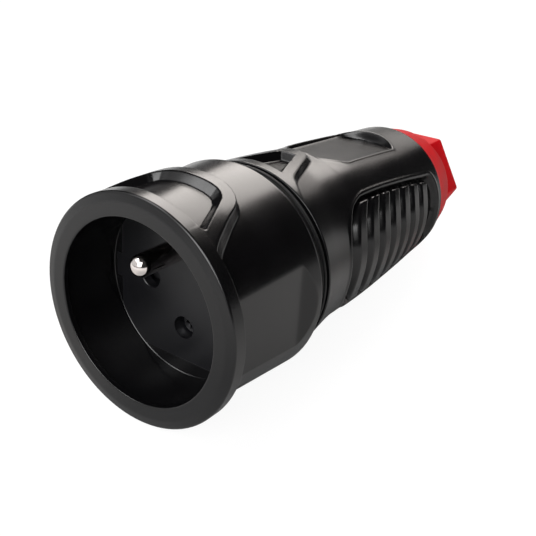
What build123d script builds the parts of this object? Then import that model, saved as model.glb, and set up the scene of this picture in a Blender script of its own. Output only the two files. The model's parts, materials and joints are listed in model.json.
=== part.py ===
from build123d import *
import math
import os

# In-line power socket for a flexible lead, lying on its side as it does in use.
# X runs from the mouth face back along the socket's own axis to the cable nut.
# Z is up, on the side of the earth pin. The origin is the middle of the mouth.
# Lengths are millimetres, and names that end in _x are places along the axis.

# Plug well and its rim
well_radius = 20.0
well_lip_length = 1.2
well_undercut = 0.6
well_depth = 15.2
rim_radius = 25.05
rim_flat_radius = 23.0
rim_fall = 0.3
rim_width = 3.6

# Front shell
shell_length = 31.1
shell_front_radius = 22.9
shell_rear_radius = 24.6
shell_edge_round = 0.8
floor_ring_thickness = 2.0
floor_ring_bore = 12.0
side_flat_front = 21.35
side_flat_rear = 22.45
side_flat_length = 21.9
side_flat_ramp = 3.7

# Raised frame on top of the front shell
frame_top_radius = 25.45
frame_level_x = 10.0
frame_rear_x = 19.3
frame_rear_half = 8.8
frame_corner_x = 16.2
frame_corner_half = 12.5
frame_front_half = 17.5
frame_rear_round = 2.0
frame_bend_round = 4.0
frame_root_round = 1.5
window_rear_x = 16.2
window_bar_lean = 43.0
window_arm_x = 8.5
window_arm_half = 12.3
window_arm_turn = 55.0
window_arm_lean = 48.0
window_cut_height = 14.0
window_round = 1.6
window_front_round = 1.0

# Socket insert that fills the floor of the well
insert_radius = 20.3
insert_half_width = 18.0
insert_half_height = 17.0
insert_tongue_reach = 19.6
insert_tongue_width = 5.5
insert_flange_thickness = 1.6
insert_step = 1.0
insert_wall = 1.2
insert_length = 11.2
insert_face_thickness = 2.2
seat_gap = 0.15

# Contacts: pin pitch and pin size of the round two-pole and earth system
line_pitch = 19.0
line_hole_radius = 2.5
line_hole_edge = 0.15
pin_radius = 2.4
pin_gap = 0.05
earth_offset = 10.0
earth_pin_recess = 0.1
earth_pin_root_radius = 2.6
earth_pin_root_reach = 0.3
earth_collar_radius = 3.8
earth_collar_length = 3.0
sleeve_wall = 0.75
sleeve_slot = 0.8
sleeve_slot_length = 9.0
pin_reach = 19.8
contact_root_length = 1.4
tower_wall = 1.1
clip_thickness = 0.5
clip_width = 2.5
clip_setback = 1.6
terminal_size = 8.0
terminal_length = 9.0
wire_hole_radius = 1.6
wire_hole_depth = 7.0
terminal_screw_radius = 1.7
terminal_screw_head_radius = 2.7
terminal_screw_head_height = 1.8
terminal_screw_lift = 0.5
terminal_screw_slot = 0.8
earth_shank_radius = 1.9
earth_shank_length = 3.2

# Shutter behind the line holes, and its two springs
shutter_thickness = 3.1
shutter_pad_half = 2.9
shutter_pad_width = 6.4
shutter_toe = 0.9
shutter_travel = 5.5
shutter_bridge_top = 0.8
shutter_bridge_height = 3.2
slide_gap = 0.15
spring_room = 2.9
spring_radius = 1.15
spring_wire_radius = 0.17
spring_wire_sides = 8
spring_turns = 5
spring_post_radius = 0.75
spring_post_height = 1.6

# Terminal base that closes the back of the insert
base_plate_thickness = 3.2
base_lip_hole_radius = 2.9
base_lip_thickness = 1.2

# Fixing screw through the face, and the threaded insert that it pulls on
screw_offset = 9.15
screw_hole_radius = 2.6
screw_head_radius = 2.4
screw_head_height = 1.8
screw_head_depth = 2.7
screw_radius = 1.5
screw_gap = 0.2
screw_head_edge = 0.3
screw_recess_length = 2.9
screw_recess_width = 0.7
screw_recess_depth = 1.1
screw_length = 32.5
pillar_radius = 4.2
boss_length = 20.0
boss_rib = 2.4
nut_insert_radius = 2.9
nut_insert_length = 9.0

# Seal in the seam between shell and handle
seam_width = 5.2
spigot_radius = 20.4
spigot_length = 8.2
seal_radius = 22.2
seal_ridge_radius = 22.8
seal_ridge_width = 0.7
seal_ridge_setback = 1.8
seal_ridge_pitch = 1.9

# Handle
handle_lip_radius = 23.0
handle_lip_round = 0.4
handle_waist_radius = 21.3
handle_waist_x = 54.0
handle_mid_radius = 20.25
handle_mid_x = 80.0
handle_rear_radius = 18.7
handle_rear_x = 102.3
handle_front_slope = 0.19
handle_rear_slope = 0.075
cavity_radius = 18.0
cavity_straight = 22.0
cavity_rear_radius = 15.4
bulkhead_x = 88.0
bulkhead_thickness = 3.0
bulkhead_hole_radius = 8.6

# Raised chevron frame at the front of the handle
chevron_rear_x = 55.0
chevron_rear_half = 2.2
chevron_corner_x = 52.4
chevron_corner_half = 4.7
chevron_front_half = 11.4
chevron_rear_radius = 22.3
chevron_rim = 3.1
chevron_bar = 3.7
chevron_pocket_rear_half = 2.1
chevron_pocket_front_half = 6.4
chevron_pocket_floor = 20.2
chevron_pocket_taper = 25.0
chevron_pocket_round = 0.5
chevron_edge_round = 0.8

# Flat label field on top of the handle
label_front_x = 57.1
label_front_half = 4.5
label_side_x = 63.5
label_half_width = 8.6
label_rear_x = 91.6
label_rear_radius = 11.9
label_front_height = 18.9
label_rear_height = 16.95
label_corner_round = 0.8

# Ribbed grip panel on each side of the handle
grip_front_x = 47.3
grip_rear_x = 100.6
grip_front_curve = [(0.0, 0.0), (0.5, 6.6), (2.1, 10.0), (5.3, 12.8), (10.5, 14.9)]
grip_rear_curve = [(0.0, 0.0), (0.3, 6.1), (1.0, 9.1), (2.1, 11.4), (4.6, 13.6)]
grip_plane = 15.2
bead_width = 1.2
bead_height = 0.45
bead_plane = 16.0
grip_depth = 1.2
rib_plane = 16.9
rib_count = 7
rib_first_x = 54.3
rib_pitch = 6.1
rib_width = 3.2

# Cable gland at the rear: neck, seal, collet, slip washer and nut
neck_radius = 14.4
neck_length = 9.7
gland_bore_radius = 11.6
cable_seal_length = 12.0
cable_seal_hole_radius = 5.5
gland_gap = 0.1
collet_length = 14.1
collet_ring_length = 3.0
collet_radius = 11.2
collet_hole_radius = 7.1
collet_taper = 4.2
collet_nose_radius = 9.7
collet_fingers = 8
collet_slot = 1.6
washer_thickness = 1.2
washer_hole_radius = 8.4
nut_front_gap = 0.1
nut_length = 19.3
nut_collar_radius = 18.4
nut_cone_length = 10.2
nut_cone_radius = 16.1
nut_shoulder_length = 3.0
nut_hex_flats = 26.5
nut_hex_edge = 0.3
nut_end_wall = 3.3
nut_hole_radius = 7.5
nut_hole_flare = 0.8
nut_thread_gap = 0.05
nut_thread_length = 10.0
nut_pocket_radius = 11.5

# Places along the axis that follow from the sizes above
face_x = well_depth
ring_front_x = face_x + insert_flange_thickness
ring_back_x = ring_front_x + floor_ring_thickness
pocket_front_x = face_x + insert_face_thickness
pocket_back_x = pocket_front_x + shutter_thickness + 2 * slide_gap
sleeve_front_x = pocket_back_x + base_lip_thickness
root_front_x = face_x + pin_reach
root_back_x = root_front_x + contact_root_length
tower_back_x = root_back_x - contact_root_length / 2
terminal_back_x = root_back_x + terminal_length
screw_seat_x = face_x + screw_head_depth + screw_head_height
boss_back_x = tower_back_x + boss_length
nut_insert_x = boss_back_x - nut_insert_length
seam_back_x = shell_length + seam_width
spigot_front_x = seam_back_x - spigot_length
cavity_taper_x = seam_back_x + cavity_straight - spigot_length
gland_front_x = bulkhead_x + bulkhead_thickness
neck_back_x = handle_rear_x + neck_length
collet_front_x = gland_front_x + cable_seal_length
collet_back_x = collet_front_x + collet_length
nut_front_x = handle_rear_x + nut_front_gap
nut_back_x = nut_front_x + nut_length
nut_pocket_x = nut_back_x - nut_end_wall
washer_front_x = nut_pocket_x - washer_thickness
rim_back_x = rim_width
line_y = line_pitch / 2
bore_behind_lip = well_radius + well_undercut
sleeve_inner = pin_radius + pin_gap
sleeve_outer = sleeve_inner + sleeve_wall
clip_outer = sleeve_outer + pin_gap + clip_thickness
tower_bore = clip_outer + seat_gap
tower_radius = tower_bore + tower_wall
earth_root_hole = earth_pin_root_radius + pin_gap
tower_places = [(line_y, 0), (-line_y, 0), (0, earth_offset)]
terminal_screw_x = root_back_x + terminal_length / 2
spring_x = pocket_back_x - slide_gap - shutter_thickness / 2

# Reach of a cut that goes right through, and overlap of solids that are joined
far = 60.0
overlap = 1.0

os.makedirs("parts", exist_ok=True)


def save(sub_part, name):
    """Labels a finished piece and writes it as its own file."""
    sub_part.part.label = name
    export_step(sub_part.part, "parts/" + name + ".step")


def across(x, y=0.0, z=0.0):
    """Plane square to the axis at x, its own X along Y and its own Y along Z."""
    return Plane(origin=(x, y, z), x_dir=(0, 1, 0), z_dir=(1, 0, 0))


def handle_body(growth):
    """The handle's outer form as a solid of revolution, grown outwards by growth."""
    with BuildPart() as body:
        with BuildSketch(Plane.XY):
            with BuildLine():
                start = (seam_back_x, handle_lip_radius + growth)
                end = (handle_rear_x, handle_rear_radius + growth)
                Spline(
                    start,
                    (handle_waist_x, handle_waist_radius + growth),
                    (handle_mid_x, handle_mid_radius + growth),
                    end,
                    tangents=((1.0, -handle_front_slope), (1.0, -handle_rear_slope)),
                )
                Polyline(end, (handle_rear_x, 0), (seam_back_x, 0), start)
            make_face()
        revolve(axis=Axis.X)
    return body.part


def insert_outline(inset):
    """Outline of the insert: a disc with four flats, drawn in by inset."""
    Circle(insert_radius - inset)
    width = 2 * (insert_half_width - inset)
    height = 2 * (insert_half_height - inset)
    Rectangle(width, height, mode=Mode.INTERSECT)


# Window in the raised frame: rear wall and arms lean outwards, by degrees from upright
bar_lean = math.radians(window_bar_lean)
arm_lean = math.radians(window_arm_lean)
arm_turn = math.radians(window_arm_turn)
window_arm_top = math.sqrt(frame_top_radius**2 - window_arm_half**2)
with BuildPart() as frame_window:
    with Locations((frame_rear_x / 2, 0, shell_front_radius)):
        Box(frame_rear_x, 2 * frame_front_half, window_cut_height)
    window_bar = Plane(
        origin=(window_rear_x, 0, frame_top_radius),
        z_dir=(math.cos(bar_lean), 0, -math.sin(bar_lean)),
    )
    split(bisect_by=window_bar, keep=Keep.BOTTOM)
    for side in (1, -1):
        along = math.cos(arm_turn) * math.cos(arm_lean)
        outward = side * math.sin(arm_turn) * math.cos(arm_lean)
        window_arm = Plane(
            origin=(window_arm_x, side * window_arm_half, window_arm_top),
            z_dir=(along, outward, -math.sin(arm_lean)),
        )
        split(bisect_by=window_arm, keep=Keep.BOTTOM)
    with Locations((rim_back_x / 2, 0, shell_front_radius)):
        Box(rim_back_x, far, far, mode=Mode.SUBTRACT)
    corner_edges = frame_window.edges().filter_by(
        lambda e: e.center().X > window_arm_x and abs(e.center().Y) < window_arm_half
        and abs(e.tangent_at(0.5).Z) > math.sin(arm_lean) / 2
    )
    fillet(corner_edges, window_round)

# Raised frame: a plan outline under a top that starts level with the rim
with BuildPart() as top_frame:
    with BuildSketch(Plane.XY.offset(shell_front_radius / 2)):
        with BuildLine():
            Polyline(
                (rim_back_x - overlap, -rim_radius),
                (rim_back_x, -rim_radius),
                (rim_back_x, -frame_front_half),
                (frame_corner_x, -frame_corner_half),
                (frame_rear_x, -frame_rear_half),
                (frame_rear_x, frame_rear_half),
                (frame_corner_x, frame_corner_half),
                (rim_back_x, frame_front_half),
                (rim_back_x, rim_radius),
                (rim_back_x - overlap, rim_radius),
                close=True,
            )
        make_face()
        fillet(vertices().group_by(Axis.X)[-1], frame_rear_round)
        bends = vertices().filter_by(lambda v: math.isclose(v.X, frame_corner_x))
        fillet(bends, frame_bend_round)
        roots = vertices().filter_by(lambda v: math.isclose(abs(v.Y), frame_front_half))
        fillet(roots, frame_root_round)
    extrude(amount=far)
    with BuildSketch(Plane.XY):
        with BuildLine():
            Polyline(
                (0, shell_front_radius - overlap),
                (0, rim_radius),
                (rim_back_x, rim_radius),
                (frame_level_x, frame_top_radius),
                (frame_rear_x, frame_top_radius),
                (frame_rear_x, shell_front_radius - overlap),
                close=True,
            )
        make_face()
    revolve(axis=Axis.X, mode=Mode.INTERSECT)
    add(frame_window.part, mode=Mode.SUBTRACT)
    front_edges = top_frame.edges().filter_by(
        lambda e: abs(e.tangent_at(0.5).Z) > math.sin(arm_lean) / 2
        and math.isclose(e.center().X, rim_back_x)
        and abs(e.center().Y) < frame_front_half - frame_root_round
    )
    fillet(front_edges, window_front_round)

with BuildPart() as front_shell:
    with BuildSketch(Plane.XY):
        with BuildLine():
            Polyline(
                (0, well_radius),
                (0, rim_flat_radius),
                (rim_fall, rim_radius - rim_fall),
                (2 * rim_fall, rim_radius),
                (rim_back_x, rim_radius),
                (rim_back_x, shell_front_radius),
                (shell_length - shell_edge_round, shell_rear_radius),
            )
            RadiusArc(
                (shell_length - shell_edge_round, shell_rear_radius),
                (shell_length, shell_rear_radius - shell_edge_round),
                shell_edge_round,
            )
            Polyline(
                (shell_length, shell_rear_radius - shell_edge_round),
                (shell_length, bore_behind_lip),
                (ring_back_x, bore_behind_lip),
                (ring_back_x, floor_ring_bore),
                (ring_front_x, floor_ring_bore),
                (ring_front_x, bore_behind_lip),
                (well_lip_length + well_undercut, bore_behind_lip),
                (well_lip_length, well_radius),
                (0, well_radius),
            )
        make_face()
    revolve(axis=Axis.X)
    with BuildSketch(across(ring_front_x)):
        insert_outline(insert_step - seat_gap)
    extrude(amount=floor_ring_thickness, mode=Mode.SUBTRACT)
    add(top_frame.part)
    for side in (1, -1):
        flat_end_x = rim_back_x + side_flat_length
        with BuildSketch(Plane.XY.offset(-shell_rear_radius)):
            with BuildLine():
                Polyline(
                    (rim_back_x, side * side_flat_front),
                    (flat_end_x, side * side_flat_rear),
                    (flat_end_x + side_flat_ramp, side * shell_rear_radius),
                    (flat_end_x + side_flat_ramp, side * far / 2),
                    (rim_back_x, side * far / 2),
                    close=True,
                )
            make_face()
        extrude(amount=2 * shell_rear_radius, mode=Mode.SUBTRACT)
save(front_shell, "front_shell")

with BuildPart() as socket_insert:
    with BuildSketch(across(face_x)):
        Circle(insert_radius)
        Rectangle(2 * insert_half_width, 2 * insert_half_height, mode=Mode.INTERSECT)
        with BuildSketch(across(face_x), mode=Mode.PRIVATE) as tongues:
            Circle(insert_radius)
            Rectangle(2 * insert_tongue_reach, insert_tongue_width, mode=Mode.INTERSECT)
        add(tongues.sketch_local)
    extrude(amount=insert_flange_thickness)
    with BuildSketch(across(ring_front_x)):
        insert_outline(insert_step)
    extrude(amount=insert_length)
    with BuildSketch(across(pocket_back_x)):
        insert_outline(insert_step + insert_wall)
    extrude(amount=far, mode=Mode.SUBTRACT)
    with BuildSketch(across(pocket_front_x)):
        pocket_bottom = -shutter_pad_half - slide_gap
        pocket_top = shutter_pad_half + shutter_travel + spring_room
        with Locations((line_y, (pocket_top + pocket_bottom) / 2),
                       (-line_y, (pocket_top + pocket_bottom) / 2)):
            Rectangle(shutter_pad_width + 2 * slide_gap, pocket_top - pocket_bottom)
        bridge_bottom = shutter_bridge_top - shutter_bridge_height - slide_gap
        bridge_roof = shutter_bridge_top + shutter_travel + slide_gap
        with Locations((0, (bridge_roof + bridge_bottom) / 2)):
            Rectangle(line_pitch, bridge_roof - bridge_bottom)
    extrude(amount=pocket_back_x - pocket_front_x, mode=Mode.SUBTRACT)
    with BuildSketch(across(face_x)):
        with Locations((line_y, 0), (-line_y, 0)):
            Circle(line_hole_radius)
        with Locations((0, earth_offset)):
            Circle(earth_root_hole)
        with Locations((0, -screw_offset)):
            Circle(screw_radius + screw_gap)
    extrude(amount=far, mode=Mode.SUBTRACT)
    with BuildSketch(across(face_x)):
        with Locations((0, -screw_offset)):
            Circle(screw_hole_radius)
    extrude(amount=screw_seat_x - face_x, mode=Mode.SUBTRACT)
    hole_edges = socket_insert.edges().filter_by(GeomType.CIRCLE).filter_by(
        lambda e: math.isclose(e.center().X, face_x) and math.isclose(e.radius, line_hole_radius)
    )
    chamfer(hole_edges, line_hole_edge)
save(socket_insert, "socket_insert")

with BuildPart() as terminal_base:
    with BuildSketch(across(pocket_back_x)):
        insert_outline(insert_step + insert_wall + seat_gap)
    extrude(amount=base_plate_thickness)
    with BuildSketch(across(pocket_back_x)):
        with Locations(*tower_places):
            Circle(tower_radius)
        with Locations((0, -screw_offset)):
            Circle(pillar_radius)
    extrude(amount=tower_back_x - pocket_back_x)
    with BuildSketch(across(pocket_back_x)):
        insert_outline(insert_step + insert_wall + seat_gap)
    extrude(amount=far, mode=Mode.INTERSECT)
    with BuildSketch(across(pocket_back_x)):
        with Locations((line_y, 0), (-line_y, 0)):
            Circle(base_lip_hole_radius)
        with Locations((0, earth_offset)):
            Circle(earth_root_hole)
        with Locations((0, -screw_offset)):
            Circle(screw_radius + screw_gap)
    extrude(amount=far, mode=Mode.SUBTRACT)
    with BuildSketch(across(sleeve_front_x)):
        with Locations(*tower_places):
            Circle(tower_bore)
    extrude(amount=far, mode=Mode.SUBTRACT)
save(terminal_base, "terminal_base")


def terminal_block(y, z):
    """The clamp block behind a tower at (y, z), with its wire hole and screw hole."""
    reach = math.hypot(y, z)
    out = (0, y / reach, z / reach)
    with BuildPart() as block:
        with BuildSketch(across(root_front_x, y, z)):
            Circle(tower_bore - pin_gap)
        extrude(amount=contact_root_length)
        with BuildSketch(across(root_back_x, y, z)):
            Rectangle(terminal_size, terminal_size)
        extrude(amount=terminal_length)
        with BuildSketch(across(terminal_back_x, y, z)):
            Circle(wire_hole_radius)
        extrude(amount=-wire_hole_depth, mode=Mode.SUBTRACT)
        with BuildSketch(Plane(origin=(terminal_screw_x, y, z), z_dir=out)):
            Circle(terminal_screw_radius)
        extrude(amount=terminal_size, mode=Mode.SUBTRACT)
    return block.part


def line_contact(y):
    """A slotted contact sleeve on the line pitch at y, in one piece with its clamp block."""
    block = terminal_block(y, 0)
    with BuildPart() as contact:
        with BuildSketch(across(sleeve_front_x, y)):
            Circle(sleeve_outer)
            Circle(sleeve_inner, mode=Mode.SUBTRACT)
        extrude(amount=root_front_x - sleeve_front_x)
        with BuildSketch(across(sleeve_front_x, y)):
            Rectangle(sleeve_slot, 3 * sleeve_outer)
        extrude(amount=sleeve_slot_length, mode=Mode.SUBTRACT)
        add(block)
    return contact


live_contact = line_contact(line_y)
save(live_contact, "live_contact")

neutral_contact = line_contact(-line_y)
save(neutral_contact, "neutral_contact")

with BuildPart() as contact_springs:
    for y in (line_y, -line_y):
        with BuildSketch(across(sleeve_front_x + clip_setback, y)):
            Circle(clip_outer)
            Circle(clip_outer - clip_thickness, mode=Mode.SUBTRACT)
            with Locations((0, clip_outer)):
                Rectangle(clip_width, clip_outer, mode=Mode.SUBTRACT)
        extrude(amount=clip_width)
save(contact_springs, "contact_springs")

earth_block = terminal_block(0, earth_offset)
with BuildPart() as earth_terminal:
    add(earth_block)
    with BuildSketch(across(root_front_x, 0, earth_offset)):
        Circle(earth_shank_radius)
    extrude(amount=earth_shank_length, mode=Mode.SUBTRACT)
save(earth_terminal, "earth_terminal")

with BuildPart() as earth_pin:
    with BuildSketch(Plane.XY.offset(earth_offset)):
        with BuildLine():
            ball_x = earth_pin_recess + pin_radius
            RadiusArc((earth_pin_recess, 0), (ball_x, pin_radius), pin_radius)
            Polyline(
                (ball_x, pin_radius),
                (face_x - earth_pin_root_reach, pin_radius),
                (face_x - earth_pin_root_reach, earth_pin_root_radius),
                (sleeve_front_x, earth_pin_root_radius),
                (sleeve_front_x, earth_collar_radius),
                (sleeve_front_x + earth_collar_length, earth_collar_radius),
                (sleeve_front_x + earth_collar_length, pin_radius),
                (root_front_x, pin_radius),
                (root_front_x, earth_shank_radius),
                (root_front_x + earth_shank_length, earth_shank_radius),
                (root_front_x + earth_shank_length, 0),
                (earth_pin_recess, 0),
            )
        make_face()
    revolve(axis=Axis((0, 0, earth_offset), (1, 0, 0)))
save(earth_pin, "earth_pin")

with BuildPart() as terminal_screws:
    for y, z in tower_places:
        reach = math.hypot(y, z)
        out = (0, y / reach, z / reach)
        seat = reach + terminal_size / 2 + terminal_screw_lift
        tip = reach + wire_hole_radius
        crown = seat + terminal_screw_head_height
        with BuildSketch(Plane(origin=(terminal_screw_x, out[1] * tip, out[2] * tip), z_dir=out)):
            Circle(terminal_screw_radius)
        extrude(amount=seat - tip)
        with BuildSketch(Plane(origin=(terminal_screw_x, out[1] * seat, out[2] * seat), z_dir=out)):
            Circle(terminal_screw_head_radius)
        extrude(amount=terminal_screw_head_height)
        with BuildSketch(Plane(origin=(terminal_screw_x, out[1] * crown, out[2] * crown), z_dir=out)):
            Rectangle(terminal_screw_slot, 3 * terminal_screw_head_radius)
        extrude(amount=-terminal_screw_slot, mode=Mode.SUBTRACT)
save(terminal_screws, "terminal_screws")

with BuildPart() as shutter:
    pad_back_x = pocket_back_x - slide_gap
    pad_front_x = pad_back_x - shutter_thickness
    for side in (1, -1):
        with BuildSketch(Plane.XZ.offset(-side * (line_y - side * shutter_pad_width / 2))):
            with BuildLine():
                Polyline(
                    (pad_front_x, shutter_pad_half),
                    (pad_back_x, shutter_pad_half),
                    (pad_back_x, -shutter_pad_half),
                    (pad_back_x - shutter_toe, -shutter_pad_half),
                    close=True,
                )
            make_face()
        extrude(amount=-shutter_pad_width)
        with BuildSketch(Plane.XY.offset(shutter_pad_half)):
            with Locations((pad_back_x - shutter_thickness / 2, side * line_y)):
                Circle(spring_post_radius)
        extrude(amount=spring_post_height)
    bridge_x = (pad_front_x + pad_back_x) / 2
    bridge_z = shutter_bridge_top - shutter_bridge_height / 2
    with Locations((bridge_x, 0, bridge_z)):
        Box(shutter_thickness, line_pitch - shutter_pad_width, shutter_bridge_height)
save(shutter, "shutter")


def shutter_spring(y):
    """The spring above a shutter pad at y, from the pad up to the pocket's roof."""
    room = shutter_travel + spring_room
    rise = room - 2 * spring_wire_radius
    coil_radius = spring_radius - spring_wire_radius
    with BuildPart() as spring:
        with BuildLine():
            coil = Helix(
                pitch=rise / spring_turns,
                height=rise,
                radius=coil_radius,
                center=(spring_x, y, shutter_pad_half + spring_wire_radius),
            )
        with BuildSketch(Plane(origin=coil @ 0, z_dir=coil % 0)):
            RegularPolygon(spring_wire_radius, spring_wire_sides)
        sweep(path=coil, is_frenet=True)
    return spring


shutter_spring_left = shutter_spring(line_y)
save(shutter_spring_left, "shutter_spring_left")

shutter_spring_right = shutter_spring(-line_y)
save(shutter_spring_right, "shutter_spring_right")

with BuildPart() as fixing_screw:
    with BuildSketch(across(screw_seat_x, 0, -screw_offset)):
        Circle(screw_head_radius)
    extrude(amount=-screw_head_height)
    chamfer(fixing_screw.edges().group_by(Axis.X)[0], screw_head_edge)
    with BuildSketch(across(screw_seat_x - screw_head_height, 0, -screw_offset)):
        Rectangle(screw_recess_length, screw_recess_width)
        Rectangle(screw_recess_width, screw_recess_length)
    extrude(amount=screw_recess_depth, mode=Mode.SUBTRACT)
    with BuildSketch(across(screw_seat_x, 0, -screw_offset)):
        Circle(screw_radius)
    extrude(amount=screw_length)
save(fixing_screw, "fixing_screw")

with BuildPart() as threaded_insert:
    with BuildSketch(across(nut_insert_x, 0, -screw_offset)):
        Circle(nut_insert_radius)
        Circle(screw_radius, mode=Mode.SUBTRACT)
    extrude(amount=nut_insert_length)
save(threaded_insert, "threaded_insert")

with BuildPart() as body_seal:
    with BuildSketch(across(shell_length + seat_gap)):
        Circle(seal_radius)
    extrude(amount=seam_width - 2 * seat_gap)
    for ridge in range(2):
        ridge_x = shell_length + seal_ridge_setback + ridge * seal_ridge_pitch
        with BuildSketch(across(ridge_x)):
            Circle(seal_ridge_radius)
        extrude(amount=seal_ridge_width)
    with BuildSketch(across(shell_length)):
        Circle(spigot_radius + pin_gap)
    extrude(amount=far, mode=Mode.SUBTRACT)
save(body_seal, "body_seal")

plain_handle = handle_body(0.0)
bead_handle = handle_body(bead_height)
sunk_handle = handle_body(-grip_depth)
proud_handle = handle_body(bead_height + overlap)

# Raised chevron: a plan outline under a gently falling cone, with a tapered pocket
chevron_pocket_top = chevron_rear_radius
with BuildPart() as chevron_pocket:
    with BuildSketch(Plane.XY.offset(chevron_pocket_top)):
        with BuildLine():
            Polyline(
                (seam_back_x + chevron_rim, -chevron_pocket_front_half),
                (chevron_rear_x - chevron_bar, -chevron_pocket_rear_half),
                (chevron_rear_x - chevron_bar, chevron_pocket_rear_half),
                (seam_back_x + chevron_rim, chevron_pocket_front_half),
                close=True,
            )
        make_face()
        fillet(vertices(), chevron_pocket_round)
    extrude(amount=chevron_pocket_floor - chevron_pocket_top, taper=chevron_pocket_taper)
    extrude(chevron_pocket.faces().sort_by(Axis.Z)[-1], amount=far)

with BuildPart() as chevron:
    with BuildSketch(Plane.XY.offset(chevron_pocket_floor)):
        with BuildLine():
            Polyline(
                (seam_back_x + handle_lip_round, -chevron_front_half),
                (chevron_corner_x, -chevron_corner_half),
                (chevron_rear_x, -chevron_rear_half),
                (chevron_rear_x, chevron_rear_half),
                (chevron_corner_x, chevron_corner_half),
                (seam_back_x + handle_lip_round, chevron_front_half),
                close=True,
            )
        make_face()
        fillet(vertices().group_by(Axis.X)[-1], chevron_edge_round)
        corners = vertices().filter_by(lambda v: math.isclose(v.X, chevron_corner_x))
        fillet(corners, chevron_edge_round)
    extrude(amount=far)
    with BuildSketch(Plane.XY):
        with BuildLine():
            Polyline(
                (seam_back_x, 0),
                (seam_back_x, handle_lip_radius),
                (chevron_rear_x + overlap, chevron_rear_radius),
                (chevron_rear_x + overlap, 0),
                close=True,
            )
        make_face()
    revolve(axis=Axis.X, mode=Mode.INTERSECT)

# Label field: vertical walls down to a floor that falls towards the rear
label_fall = math.atan2(label_front_height - label_rear_height, label_rear_x - label_front_x)
label_arc_x = label_rear_x - label_rear_radius
label_arc_x += math.sqrt(label_rear_radius**2 - label_half_width**2)
with BuildPart() as label_field:
    with BuildSketch(Plane.XY):
        with BuildLine():
            Polyline(
                (label_arc_x, -label_half_width),
                (label_side_x, -label_half_width),
                (label_front_x, -label_front_half),
                (label_front_x, label_front_half),
                (label_side_x, label_half_width),
                (label_arc_x, label_half_width),
            )
            ThreePointArc(
                (label_arc_x, label_half_width),
                (label_rear_x, 0),
                (label_arc_x, -label_half_width),
            )
        make_face()
        fillet(vertices(), label_corner_round)
    extrude(amount=far)
    label_floor = Plane(
        origin=(label_front_x, 0, label_front_height),
        z_dir=(math.sin(label_fall), 0, math.cos(label_fall)),
    )
    split(bisect_by=label_floor, keep=Keep.TOP)


def grip_region(inset, plane):
    """Both grip panels as prisms: side view drawn in by inset, and clear of |y| < plane."""
    front = [(grip_front_x + inset + dx, z) for dx, z in grip_front_curve]
    rear = [(grip_rear_x - inset - dx, z) for dx, z in grip_rear_curve]
    front = [(x, -z) for x, z in reversed(front[1:])] + front
    rear = [(x, -z) for x, z in reversed(rear[1:])] + rear
    with BuildPart() as region:
        with BuildSketch(Plane.XZ):
            with BuildLine():
                Spline(front)
                Line(front[-1], rear[-1])
                Spline(rear)
                Line(rear[0], front[0])
            make_face()
        extrude(amount=far / 2, both=True)
        with Locations((handle_mid_x, 0, 0)):
            Box(2 * far, 2 * plane, far, mode=Mode.SUBTRACT)
    return region.part


with BuildPart() as grip_ribs:
    with BuildSketch(Plane.XZ):
        for rib in range(rib_count):
            rib_x = rib_first_x + rib * rib_pitch - rib_width / 2
            curve = [(rib_x + dx, z) for dx, z in grip_front_curve]
            mirrored = [(x, -z) for x, z in reversed(curve[1:])] + curve
            with BuildLine():
                Spline(mirrored)
                Spline([(x + rib_width, z) for x, z in mirrored])
                Line(mirrored[0], (mirrored[0][0] + rib_width, mirrored[0][1]))
                Line(mirrored[-1], (mirrored[-1][0] + rib_width, mirrored[-1][1]))
            make_face()
    extrude(amount=far / 2, both=True)
    with Locations((handle_mid_x, 0, 0)):
        Box(2 * far, 2 * rib_plane, far, mode=Mode.SUBTRACT)

recess_region = grip_region(bead_width, bead_plane)
bead_region = grip_region(0, grip_plane)

with BuildPart() as grip_bead:
    add(bead_region)
    add(bead_handle, mode=Mode.INTERSECT)
    add(recess_region, mode=Mode.SUBTRACT)

with BuildPart() as grip_recess:
    add(recess_region)
    add(proud_handle, mode=Mode.INTERSECT)
    add(sunk_handle, mode=Mode.SUBTRACT)
    add(grip_ribs.part, mode=Mode.SUBTRACT)

with BuildPart() as handle:
    add(plain_handle)
    fillet(handle.edges().filter_by(GeomType.CIRCLE).group_by(Axis.X)[0], handle_lip_round)
    with BuildSketch(across(spigot_front_x)):
        Circle(spigot_radius)
    extrude(amount=spigot_length)
    with BuildSketch(across(handle_rear_x)):
        Circle(neck_radius)
    extrude(amount=neck_length)
    add(chevron.part)
    add(chevron_pocket.part, mode=Mode.SUBTRACT)
    add(label_field.part, mode=Mode.SUBTRACT)
    add(grip_bead.part)
    add(grip_recess.part, mode=Mode.SUBTRACT)
    with BuildSketch(Plane.XY):
        with BuildLine():
            Polyline(
                (spigot_front_x, 0),
                (spigot_front_x, cavity_radius),
                (cavity_taper_x, cavity_radius),
                (bulkhead_x, cavity_rear_radius),
                (bulkhead_x, bulkhead_hole_radius),
                (gland_front_x, bulkhead_hole_radius),
                (gland_front_x, gland_bore_radius),
                (neck_back_x, gland_bore_radius),
                (neck_back_x, 0),
                close=True,
            )
        make_face()
    revolve(axis=Axis.X, mode=Mode.SUBTRACT)
    boss_front_x = tower_back_x + seat_gap
    with BuildSketch(across(boss_front_x)):
        with Locations((0, -screw_offset)):
            Circle(pillar_radius)
        with Locations((0, -(screw_offset + cavity_radius) / 2)):
            Rectangle(boss_rib, cavity_radius - screw_offset + overlap)
    extrude(amount=boss_back_x - boss_front_x)
    with BuildSketch(across(boss_front_x, 0, -screw_offset)):
        Circle(screw_radius + screw_gap)
    extrude(amount=boss_length, mode=Mode.SUBTRACT)
    with BuildSketch(across(nut_insert_x, 0, -screw_offset)):
        Circle(nut_insert_radius)
    extrude(amount=boss_length, mode=Mode.SUBTRACT)
save(handle, "handle")

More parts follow.
